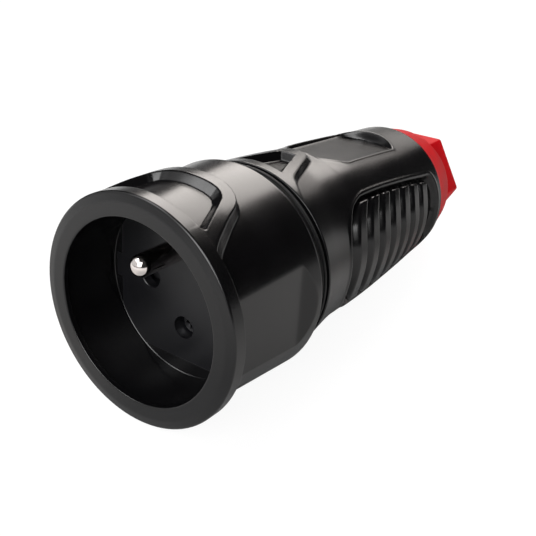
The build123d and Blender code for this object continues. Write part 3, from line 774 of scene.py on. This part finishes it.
@dataclass
class Handle:
    """Rear moulding: lip, chevron frame, label field, grip panels, threaded neck.

    Attributes are radii, widths and places along the axis, in millimetres. The
    chevron's outlines are (x, half width in Y) points, the profile (x, radius),
    and the grip's ends (height from the middle, how far the end is set in).
    """

    front: float = 36.3
    rear: float = 102.3
    lip_radius: float = 23.0
    sleeve_front: float = 28.2
    sleeve_radius: float = 20.4
    sleeve_bore: float = 18.0
    taper_start: float = 50.1
    room_back: float = 88.0
    room_back_bore: float = 15.4
    step_bore: float = 8.6
    seal_front: float = 91.0
    seal_bore: float = 11.6
    neck_radius: float = 14.4
    neck_back: float = 112.0
    thread_pitch: float = 2.0
    thread_depth: float = 0.55
    bead_height: float = 0.26
    grip_depth: float = 1.8
    rib_count: int = 7
    rib_first: float = 54.3
    rib_pitch: float = 6.1
    rib_half: float = 1.7
    rib_plane: float = 16.9
    grip_front: float = 47.3
    grip_rear: float = 100.6
    grip_plane: float = 15.2
    grip_corner: float = 2.5
    label_front: float = 57.1
    label_front_half: float = 4.5
    label_lean: float = 0.636
    label_half_width: float = 8.65
    label_arch: float = 79.7
    label_arch_radius: float = 11.9
    label_height: float = 18.9
    label_fall: float = 0.0565
    label_wall: float = 0.3
    label_lip: float = 0.08
    label_follow: float = 88.6
    crown_radius: float = 22.98
    crown_fall: float = 0.0405
    chevron_end: float = 56.6
    pocket_front: float = 39.3
    pocket_back: float = 51.3
    pocket_width: float = 6.5
    pocket_taper: float = 0.3667
    pocket_floor: float = 20.35
    pocket_wall: float = 1.05
    chevron_top: Outline = (
        (37.0, 13.7), (39.1, 10.65), (40.05, 9.3), (40.8, 8.6), (42.1, 8.0),
        (45.1, 6.95), (49.2, 5.35), (53.0, 3.8), (53.7, 3.45), (54.25, 2.85),
        (54.6, 2.1), (54.95, 0.95), (55.1, 0.0),
    )
    chevron_foot: Outline = (
        (37.0, 14.0), (39.0, 11.1), (40.1, 10.1), (41.6, 9.35), (44.7, 8.1),
        (48.15, 6.85), (51.9, 5.6), (53.3, 5.05), (53.85, 4.6), (54.45, 3.8),
        (55.3, 2.75), (56.0, 1.4), (56.15, 0.0),
    )
    profile: Outline = (
        (36.3, 23.0), (40.0, 22.42), (43.5, 21.9), (48.0, 21.42), (54.0, 21.3),
        (60.0, 21.25), (68.0, 21.0), (76.0, 20.5), (84.0, 19.95), (92.0, 19.3),
        (102.3, 18.68),
    )
    grip_lead: Outline = ((0.0, 0.0), (6.6, 0.5), (10.0, 2.1), (12.8, 5.3), (14.9, 10.5), (18.0, 22.0))
    grip_trail: Outline = ((0.0, 0.0), (6.1, 0.3), (9.1, 1.0), (11.4, 2.1), (13.6, 4.6), (18.0, 12.0))

    def body_radius(self, x: Array) -> Array:
        """Radius of the plain handle at x."""
        return curve_through(self.profile, x)

    def crown(self, x: Array) -> Array:
        """Radius of the chevron frame's top at x."""
        return self.crown_radius - (x - self.front) * self.crown_fall

    def pocket_half(self, x: Array) -> Array:
        """Half width of the chevron's pocket at x."""
        return self.pocket_width - self.pocket_taper * (x - self.pocket_front)

    def chevron(self, base: Array, x: Array, a: Array) -> Array:
        """Base with the chevron frame added near the lip and its pocket cut.

        Args:
            base: radii of the plain handle.
            x: places along the axis.
            a: angles round it.

        Returns:
            The new radii.
        """
        crown = self.crown(x)
        across = np.abs(np.sin(a))
        y = crown * across
        fall = wall_share(
            edge_distance(self.chevron_top, x, y), edge_distance(self.chevron_foot, x, base * across)
        )
        shape = base + np.maximum(crown - base, 0.0) * (1.0 - fall)
        beside = 0.94 * (self.pocket_half(x) - y)
        inside = np.minimum(np.minimum(beside, x - self.pocket_front), self.pocket_back - x)
        floor = self.pocket_floor / np.maximum(np.cos(a), 0.5)
        pocket = np.clip(inside / self.pocket_wall, 0.0, 1.0)
        sunk = crown + (floor - crown) * pocket
        return np.where(inside > 0, soft_min(shape, sunk, 0.1), shape)

    def label_half(self, x: Array) -> Array:
        """Half width of the label field, with its slant front and arched rear.

        Args:
            x: places along the axis.

        Returns:
            The half width at each place.
        """
        ahead = self.label_front_half + self.label_lean * (x - self.label_front)
        behind = np.maximum(x - self.label_arch, 0.0)
        arch = np.sqrt(np.maximum(self.label_arch_radius**2 - behind**2, 0.0))
        return soft_min(soft_min(ahead, np.full_like(x, self.label_half_width), 0.9), arch, 0.6)

    def label(self, base: Array, x: Array, a: Array) -> Array:
        """Base with the flat label field sunk into its top.

        The field is what lies within four edges: the slant front corners, the
        sides, the front and a circle at the rear.

        Args:
            base: radii of the plain handle.
            x: places along the axis.
            a: angles round it.

        Returns:
            The new radii.
        """
        y = np.abs(base * np.sin(a))
        from_front = x - self.label_front
        slant_length = 1.185
        ahead = (self.label_front_half + self.label_lean * from_front - y) / slant_length
        arch = self.label_arch_radius - np.hypot(np.maximum(x - self.label_arch, 0.0), y)
        square = soft_min(soft_min(ahead, self.label_half_width - y, 0.8), from_front, 0.8)
        inside = soft_min(square, arch, 0.4)
        level = self.label_height - from_front * self.label_fall
        floor = level / np.maximum(np.cos(a), 0.5)
        share = step(inside, 0.0, self.label_wall)
        lip = self.label_lip * step(inside, -0.8, -0.3) * (1.0 - step(inside, -0.2, 0.0))
        sunk = np.minimum(base, floor)
        return base + lip + (sunk - base - lip) * share

    def columns(self, x: Array) -> Array:
        """Columns that follow the chevron's edges, then the label's up to label_follow.

        Args:
            x: place of each row along the axis.

        Returns:
            Angles, rows by columns.
        """
        base = self.body_radius(np.clip(x, self.front, self.rear))
        crown = self.crown(x)
        half = self.label_half(np.clip(x, self.label_front, self.label_follow))
        near = x < self.label_front - 0.3
        marks = [
            np.where(near, self.pocket_half(x) - self.pocket_wall, 0.45 * half),
            np.where(near, self.pocket_half(x), 0.8 * half),
            np.where(near, curve_through(self.chevron_top, x), half - 0.26),
            np.where(near, curve_through(self.chevron_foot, x), half),
        ]
        knots = [np.zeros_like(x)]
        radii = (crown, crown, np.where(near, crown, base), base)
        for mark, radius in zip(marks, radii):
            angle = angle_at(np.maximum(mark, 0.0), np.maximum(radius, 18.0))
            knots.append(np.maximum(angle, knots[-1] + 0.008))
        knots.append(knots[-1] + 0.045)
        for degrees in (43.0, 62.0, 118.0, 137.0, 180.0):
            knots.append(np.full_like(x, math.radians(degrees)))
        return fan(knots, [12, 10, 7, 5, 4, 7, 22, 40, 22, 5])

    def grip(self, base: Array, x: Array, a: Array) -> Array:
        """Base with bead, recess and ribs of the grip panel on each side.

        The bead is a squared cosine of the distance inside the panel's edge, and
        the ribs are slabs that stand at even steps behind the curved front end.

        Args:
            base: radii of the plain handle.
            x: places along the axis.
            a: angles round it.

        Returns:
            The new radii.
        """
        y = base * np.abs(np.sin(a))
        z = np.abs(base * np.cos(a))
        lead = curve_through(self.grip_lead, z)
        trail = curve_through(self.grip_trail, z)
        slope = np.sqrt(1.0 + (0.055 * z) ** 2)
        ahead = (x - self.grip_front - lead) / slope
        behind = self.grip_rear - trail - x
        above = (y - self.grip_plane) * 1.38
        inside = soft_min(soft_min(ahead, behind, self.grip_corner), above, self.grip_corner)
        across_bead = np.clip((inside - 0.75) / 0.85, -1.0, 1.0)
        bead = self.bead_height * np.cos(across_bead * math.pi / 2) ** 2
        recess = step(inside, 1.15, 1.9)
        offset = (x - lead - self.rib_first) / self.rib_pitch
        nearest = np.clip(np.round(offset), 0, self.rib_count - 1)
        across = np.abs(x - lead - self.rib_first - nearest * self.rib_pitch) / slope
        end = (y - self.rib_plane) * 3.5
        rib = soft_min(self.rib_half - across, end, 0.5)
        down = soft_max(0.1 - rib, np.zeros_like(rib), 0.3) / 1.3
        fall = soft_min(down, np.ones_like(rib), 0.15)
        return base + bead - self.grip_depth * recess * fall

    def relief(self, x: Array, r: Array, a: Array) -> Array:
        """All of the handle's outer relief and the neck's thread; other rows stay.

        Args:
            x: places along the axis.
            r: the path's radii.
            a: angles round the axis.

        Returns:
            The new radii.
        """
        outer = (x > self.front + 0.3) & (x < self.rear - 0.25) & (r > 18.0)
        base = self.body_radius(x)
        top = np.cos(a) > 0.8
        shape = np.where(top & (x < self.chevron_end), self.chevron(base, x, a), base)
        shape = np.where(top & (x >= self.chevron_end), self.label(base, x, a), shape)
        sides = np.abs(np.cos(a)) < 0.78
        shape = np.where(sides & (x > 46.0), self.grip(base, x, a), shape)
        turns = (x - a / (2 * math.pi) * self.thread_pitch) / self.thread_pitch
        screw = np.abs(turns % 1.0 - 0.5) * 2.0
        thread = self.neck_radius - self.thread_depth * step(screw, 0.25, 0.75)
        neck = (x > self.rear + 0.6) & (x < self.neck_back - 0.5) & (r > 14.0)
        return np.where(outer, shape, np.where(neck, thread, r))

    def build(self, looks: "Palette") -> None:
        """Makes the handle's skin, which stands for its CAD node.

        Args:
            looks: the materials.
        """
        xs = stations(
            (36.75, 39.2, 0.3),
            (39.2, 40.5, 0.13),
            (40.5, 50.2, 0.28),
            (50.2, 51.5, 0.13),
            (51.5, 57.0, 0.2),
            (57.0, 57.5, 0.08),
            (57.5, 88.0, 0.3),
            (88.0, 91.85, 0.075),
            (91.85, 101.2, 0.3),
            (101.2, 102.0, 0.2),
        )
        outside = np.stack([xs, self.body_radius(xs)], axis=1)
        start = (self.sleeve_front, self.sleeve_radius)
        corners = [start, (self.front, self.sleeve_radius), (self.front, self.lip_radius), (36.72, 22.93)]
        lip = rounded(corners, [0.05, 0.4])
        neck_x = stations((102.9, 111.5, 0.25))
        neck = np.stack([neck_x, np.full(len(neck_x), self.neck_radius)], axis=1)
        foot, foot_end = (self.rear, self.neck_radius), (102.85, self.neck_radius)
        tail = rounded([(102.05, 18.68), (self.rear, 18.5), foot, foot_end], [0.12, 0.2])
        inner = np.array(
            [
                (self.neck_back, 14.0),
                (self.neck_back, self.seal_bore),
                (self.seal_front, self.seal_bore),
                (self.seal_front, self.step_bore),
                (self.room_back, self.step_bore),
                (self.room_back, self.room_back_bore),
                (self.taper_start, self.sleeve_bore),
                (self.sleeve_front, self.sleeve_bore),
                start,
            ]
        )
        path = np.concatenate([lip, outside, tail, neck, inner])
        skin = Skin("handle_skin", turn(path, self.columns(path[:, 0]), self.relief))
        made = skin.build(looks.shell, "shell_plastic", BODY, 55.0)
        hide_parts("handle")


# Cable nut


@dataclass
class GlandNut:
    """Red nut: cone, rounded shoulder, hexagon end and a stepped bore."""

    front: float = 102.4
    collar_radius: float = 18.4
    shoulder: float = 112.6
    shoulder_radius: float = 16.1
    shoulder_slope: float = 0.95
    flats: float = 13.25
    corners: float = 15.18
    back: float = 121.7
    edge: float = 0.45
    bore: float = 14.45
    bore_end: float = 112.4
    pocket: float = 11.5
    pocket_end: float = 118.4
    cord_hole: float = 7.5
    hole_end: float = 120.9
    hole_mouth: float = 8.3
    end_radius: float = 12.7
    outer_from: float = 12.9

    def cone(self, x: Array) -> Array:
        """Radius of the cone and of the steeper shoulder behind it.

        Args:
            x: places along the axis.

        Returns:
            The radius at each place.
        """
        slope = (self.collar_radius - self.shoulder_radius) / (self.shoulder - self.front)
        gentle = self.collar_radius - slope * (x - self.front)
        steep = self.shoulder_radius - self.shoulder_slope * (x - self.shoulder)
        return soft_min(gentle, steep, 0.5)

    def relief(self, x: Array, r: Array, a: Array) -> Array:
        """Cone that runs into six flats, the top one facing +Z; inner rows stay.

        The row at the bore's end passes the test for outer rows too, so the bore
        widens from its front to the cone's radius there.

        Args:
            x: places along the axis.
            r: the path's radii.
            a: angles round the axis.

        Returns:
            The new radii.
        """
        sector = (a + math.pi / 6) % (math.pi / 3) - math.pi / 6  # angle from the nearest flat's middle
        hexagon = soft_min(self.flats / np.cos(sector), np.full_like(a, self.corners), 0.25)
        body = soft_max(hexagon, self.cone(x), 0.18)
        outer = (x > self.front + 0.5) & (r > self.outer_from)
        end = np.clip((x - (self.back - self.edge)) / self.edge, 0.0, 1.0)
        drop = self.edge * (1.0 - np.sqrt(np.maximum(1.0 - end**2, 0.0)))
        return np.where(outer, body - drop, r)

    def build(self, looks: "Palette") -> None:
        """Makes the nut's skin, which stands for its CAD node.

        Args:
            looks: the materials.
        """
        after = self.front + 0.55
        corner = (self.front, self.collar_radius)
        collar = rounded([(self.front, self.bore), corner, (after, float(self.cone(after)))], [0.35])
        xs = stations(
            (103.2, 112.0, 0.8),
            (112.0, 116.4, 0.1),
            (116.4, 121.2, 0.6),
            (121.2, self.back, 0.06),
        )
        unset = np.full(len(xs), self.shoulder_radius)  # relief replaces these radii
        outside = np.stack([xs, unset], axis=1)
        inside = rounded(
            [
                (self.back, self.end_radius),
                (self.back, self.hole_mouth),
                (self.hole_end, self.cord_hole),
                (self.pocket_end, self.cord_hole),
                (self.pocket_end, self.pocket),
                (self.bore_end, self.pocket),
                (self.bore_end, self.bore),
                (self.front, self.bore),
            ],
            [0.3, 0.3, 0.2, 0.0, 0.0, 0.0],
        )
        path = np.concatenate([collar, outside, inside])
        marks = [0, 24, 36, 84, 96, 144, 156, 180]
        rows = np.ones(len(path))
        knots = [rows * math.radians(mark) for mark in marks]
        angles = fan(knots, [20, 30, 40, 30, 40, 30, 20])
        skin = Skin("nut_skin", turn(path, angles, self.relief))
        made = skin.build(looks.nut, "nut_plastic", "nut_body", 35.0)
        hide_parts("gland_nut")


# Pin, seal and small pieces


@dataclass
class EarthPin:
    """Plated earth pin with its ball end, its wider foot and its flange."""

    height: float = 10.0
    radius: float = 2.4
    tip: float = 0.1
    foot_radius: float = 2.6
    flange_radius: float = 3.8
    tail_radius: float = 1.9

    def build(self, looks: "Palette") -> None:
        """Makes the pin's skin, which stands for its CAD node.

        Args:
            looks: the materials.
        """
        t = np.linspace(0.0, math.pi / 2, 22)
        ball = np.stack([self.tip + self.radius * (1 - np.cos(t)), self.radius * np.sin(t)], axis=1)
        ball[0, 1] = TINY
        barrel = rounded(
            [
                (self.tip + 2.6, self.radius),
                (14.9, self.radius),
                (14.9, self.foot_radius),
                (22.0, self.foot_radius),
                (22.0, self.flange_radius),
                (25.0, self.flange_radius),
                (25.0, self.radius),
                (35.0, self.radius),
                (35.0, self.tail_radius),
                (38.2, self.tail_radius),
                (38.2, TINY),
            ],
            [0.05, 0.05, 0.1, 0.2, 0.2, 0.1, 0.1, 0.1, 0.1],
        )
        path = np.concatenate([ball, barrel])
        angles = np.radians(np.arange(0.0, 360.0, 3.0))
        skin = Skin("pin_skin", turn(path, angles, centre=(0.0, self.height)))
        made = skin.build(looks.plated, "plated_pin", BODY, 45.0)
        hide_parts("earth_pin")


@dataclass
class BodySeal:
    """Ridged sealing ring in the seam between shell and handle."""

    inner: float = 20.45
    outer: float = 22.2
    ridge: float = 22.8
    front: float = 31.25
    back: float = 36.15
    ridges: tuple[float, float] = (32.9, 34.8)

    def build(self, looks: "Palette") -> None:
        """Makes the seal's skin, which stands for its CAD node.

        Args:
            looks: the materials.
        """
        points = [(self.front, self.inner), (self.front, self.outer)]
        cuts = [0.2]
        for ridge in self.ridges:
            points += [(ridge, self.outer), (ridge + 0.1, self.ridge)]
            points += [(ridge + 0.6, self.ridge), (ridge + 0.7, self.outer)]
            cuts += [0.15, 0.25, 0.25, 0.15]
        points += [(self.back, self.outer), (self.back, self.inner), (self.front, self.inner)]
        cuts += [0.2, 0.0]
        path = rounded(points, cuts)
        angles = np.radians(np.arange(0.0, 360.0, 1.5))
        skin = Skin("seal_skin", turn(path, angles))
        made = skin.build(looks.rubber, "seal_rubber", BODY, 45.0)
        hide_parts("body_seal")


class Palette:
    """The built materials, by the names of their finishes."""

    def __init__(self, finishes: Finishes) -> None:
        """Builds every finish once."""
        for key, finish in vars(finishes).items():
            setattr(self, key, finish.build())

    def paint(self, frame: dict) -> None:
        """Gives every CAD node the finish of its slot in the record.
        """
        wanted = {
            "insert_plastic": self.insert,
            "shutter_plastic": self.shutter,
            "collet_plastic": self.nylon,
            "seal_rubber": self.rubber,
            "contact_brass": self.brass,
            "screw_steel": self.zinc,
            "spring_steel": self.spring,
            "plated_pin": self.plated,
            "shell_plastic": self.shell,
            "nut_plastic": self.nut,
        }
        slots = {s["node"]: s["material_slot"] for s in frame["record"]["subparts"]}
        for name, node in frame["nodes"].items():
            node.data.materials.clear()
            node.data.materials.append(wanted[slots[name]])


# The studio


@dataclass(frozen=True)
class Lamp:
    """A rectangular lamp.

    Attributes:
        name: the lamp's name.
        centre: its place, in metres.
        aim: a point that it faces.
        size: its width and height, in metres.
        radiance: how bright its face is, where 1 is white.
        colour: the tint of its light.
    """

    name: str
    centre: Place
    aim: Place
    size: tuple[float, float]
    radiance: float
    colour: Colour = (1.0, 1.0, 1.0)

    def build(self) -> None:
        """Adds the lamp to the scene."""
        data = bpy.data.lights.new(self.name, "AREA")
        data.shape = "RECTANGLE"
        data.size, data.size_y = self.size
        data.energy = self.radiance * math.pi * self.size[0] * self.size[1]
        data.color = self.colour
        lamp = bpy.data.objects.new(self.name, data)
        lamp.location = self.centre
        toward = Vector(self.aim) - Vector(self.centre)
        lamp.rotation_euler = toward.to_track_quat("-Z", "Y").to_euler()
        bpy.context.scene.collection.objects.link(lamp)


WARM = (1.0, 0.945, 0.90)
LAMPS = (
    Lamp("key", (-0.98, -0.27, 0.62), (0.0, 0.0, 0.0), (0.8, 0.8), 7.0),
    Lamp("key_left", (-0.58, 0.50, 0.92), (0.0, 0.0, 0.0), (0.5, 0.5), 6.5),
    Lamp("front_wall", (-0.95, 0.95, 0.78), (-0.05, 0.1, 0.78), (1.9, 1.6), 0.75),
    Lamp("front_low", (-1.30, -0.25, 0.20), (0.0, 0.0, 0.1), (1.1, 0.5), 0.75),
    Lamp("softbox", (0.52, 0.255, 0.50), (0.05, 0.255, 0.02), (0.57, 0.35), 7.3, WARM),
    Lamp("softbox_foot", (0.62, 0.17, 0.275), (0.05, 0.17, 0.02), (0.38, 0.16), 1.7, WARM),
    Lamp("rear_wall", (1.0, 1.0, 0.17), (0.05, 0.0, 0.02), (2.2, 0.5), 0.20),
)


@dataclass
class Studio:
    """Floor, lamps and the camera that took the photo.

    The camera's place is in millimetres; the floor and the lamps are in metres.
    """

    floor_tilt: float = 4.6
    floor_half: float = 3.0
    floor_place: Place = (0.030, 0.0, -0.0246)
    lamps: tuple[Lamp, ...] = LAMPS
    lens: float = 54.89
    place: Place = (-102.587, -100.137, 77.760)
    forward: Place = (0.75208, 0.50661, -0.42157)
    up: Place = (0.31039, 0.29201, 0.90465)

    def camera(self) -> None:
        """Places the photo's camera."""
        data = bpy.data.cameras.new("photo_camera")
        data.lens = self.lens
        data.sensor_width = 36.0
        data.clip_start = 0.01
        data.clip_end = 50.0
        camera = bpy.data.objects.new("photo_camera", data)
        back = -Vector(self.forward).normalized()
        right = Vector(self.up).cross(back).normalized()
        up = back.cross(right).normalized()
        turn_matrix = Matrix((right, up, back)).transposed().to_4x4()
        camera.matrix_world = Matrix.Translation(Vector(self.place) * MM) @ turn_matrix
        bpy.context.scene.collection.objects.link(camera)
        bpy.context.scene.camera = camera

    def floor(self) -> None:
        """Pale floor under the socket.

        The camera sees it white but for the shadow near the socket. To reflections
        it is paper with painted shadow nearby and behind the shell, and white further off.
        """
        made = bpy.data.materials.new("studio_floor")
        tree = Tree(made)
        where = tree.node("ShaderNodeTexCoord").pick("Object")
        away = tree.node("ShaderNodeVectorMath", {"operation": "LENGTH"}, i0=where).pick("Value")
        light_path = tree.node("ShaderNodeLightPath")
        camera_ray = light_path.pick(Ray.CAMERA.value)
        glossy_ray = light_path.pick(Ray.GLOSSY.value)
        speckle = tree.node("ShaderNodeTexNoise", Vector=where, Scale=400.0)
        parts = tree.node("ShaderNodeSeparateXYZ", i0=where)
        # painted shadow: to glossy rays the paper is darkened near the socket and behind the shell
        behind = parts.pick("X").ramp(0.045, 0.10)
        painted_shadow_dim = 1.0 - glossy_ray * ((1.0 - away.ramp(0.07, 0.20)) * 0.3 + behind * 0.5)
        # painted shade: reflections get less of the white glow towards the rear, beside the handle
        painted_shade_rearward = (parts.pick("X") - parts.pick("Y")).ramp(0.08, 0.25)
        pale = (speckle.ramp(0.2, 0.8) * 0.04 + 0.9) * painted_shadow_dim
        paper = tree.node("ShaderNodeBsdfDiffuse", Color=pale)
        white = tree.node("ShaderNodeEmission", Color=(1.0, 1.0, 1.0, 1.0), Strength=1.06)
        seen = camera_ray * away.ramp(0.02, 0.20, 0.88, 1.0)
        mirrored = glossy_ray * away.ramp(0.06, 0.36) * (1.0 - painted_shade_rearward * 0.6)
        share = seen + mirrored
        mix = tree.node("ShaderNodeMixShader", i0=share, i1=paper, i2=white)
        tree.node("ShaderNodeOutputMaterial", Surface=mix)
        half = self.floor_half
        corners = [(-half, -half, 0), (half, -half, 0), (half, half, 0), (-half, half, 0)]
        mesh = bpy.data.meshes.new("studio_floor")
        mesh.from_pydata(corners, [], [(0, 1, 2, 3)])
        mesh.materials.append(made)
        plane = bpy.data.objects.new("studio_floor", mesh)
        plane.location = self.floor_place
        plane.rotation_euler = (0.0, -math.radians(self.floor_tilt), 0.0)
        bpy.context.scene.collection.objects.link(plane)

    def world(self) -> None:
        """Surroundings that the camera sees white and all else sees nearly dark."""
        scene = bpy.context.scene
        scene.world = bpy.data.worlds.new("studio_world")
        tree = Tree(scene.world)
        camera_ray = tree.node("ShaderNodeLightPath").pick(Ray.CAMERA.value)
        strength = camera_ray * 0.97 + 0.03
        dim = tree.node("ShaderNodeBackground", Color=(1.0, 1.0, 1.0, 1.0), Strength=strength)
        tree.node("ShaderNodeOutputWorld", Surface=dim)

    def build(self) -> None:
        """Makes the whole studio."""
        self.camera()
        self.world()
        self.floor()
        for lamp in self.lamps:
            lamp.build()
        bpy.context.scene.view_settings.view_transform = "Standard"


def main() -> None:
    """Builds the looks over the CAD frame, piece by piece."""
    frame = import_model()
    looks = Palette(Finishes())
    looks.paint(frame)
    for piece in (FrontShell(), Handle(), GlandNut(), EarthPin(), BodySeal()):
        piece.build(looks)
    Studio().build()


if __name__ == "__main__":
    main()
